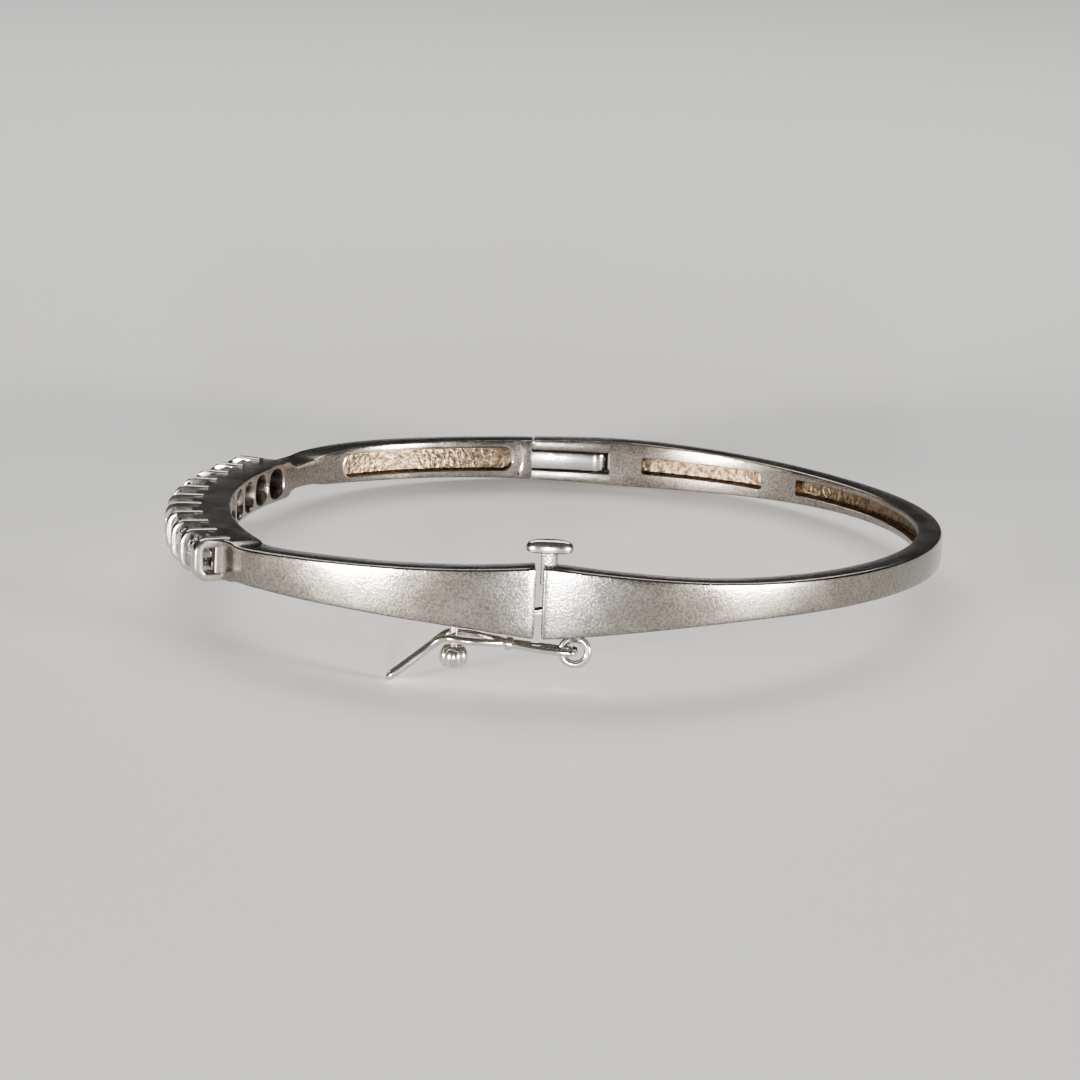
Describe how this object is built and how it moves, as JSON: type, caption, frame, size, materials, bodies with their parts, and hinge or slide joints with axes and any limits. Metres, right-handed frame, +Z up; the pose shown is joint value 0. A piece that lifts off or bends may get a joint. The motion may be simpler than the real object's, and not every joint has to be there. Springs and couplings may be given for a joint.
{
  "type": "hinged bangle with stones",
  "caption": "Hinged white metal bangle that tapers from its clasp, with a bar-set row of clear cut stones along its flatter front, a push clasp and a figure-eight safety clip.",
  "frame": {"origin": "on the surface that the bangle lies on, under the middle of its outline", "axes": "+Z up from the surface, +Y towards the hinge, -Y towards the clasp, -X towards the row of stones"},
  "size_m": [0.0578, 0.0584, 0.0103],
  "materials": {
    "metal": "polished white gold",
    "stone": "clear, faceted"
  },
  "bodies": {
    "back": {"back_half": "metal", "hinge_pin": "metal"},
    "front": {"front_half": "metal", "stone_01": "stone", "stone_02": "stone", "stone_03": "stone", "stone_04": "stone", "stone_05": "stone", "stone_06": "stone", "stone_07": "stone", "stone_08": "stone", "stone_09": "stone", "stone_10": "stone"},
    "thumb": {"thumb_piece": "metal"},
    "clip": {"safety_clip": "metal"}
  },
  "joints": [
    {"name": "bangle_hinge", "type": "hinge", "parent": "back", "child": "front", "pos_m": [0.00373, 0.02764, 0.00186], "axis": [-0.0148, -0.0736, -0.9972], "range_deg": [0, 65]},
    {"name": "thumb_press", "type": "hinge", "parent": "front", "child": "thumb", "pos_m": [0.00374, -0.0274, 0.00652], "axis": [0.0005, -0.9973, 0.0736], "range_deg": [0, 5], "stiffness_Nm_per_rad": 0.01},
    {"name": "clip_swing", "type": "hinge", "parent": "back", "child": "clip", "pos_m": [0.00099, -0.02813, 0.0026], "axis": [-0.0716, -0.9947, 0.0744], "range_deg": [0, 150]}
  ]
}
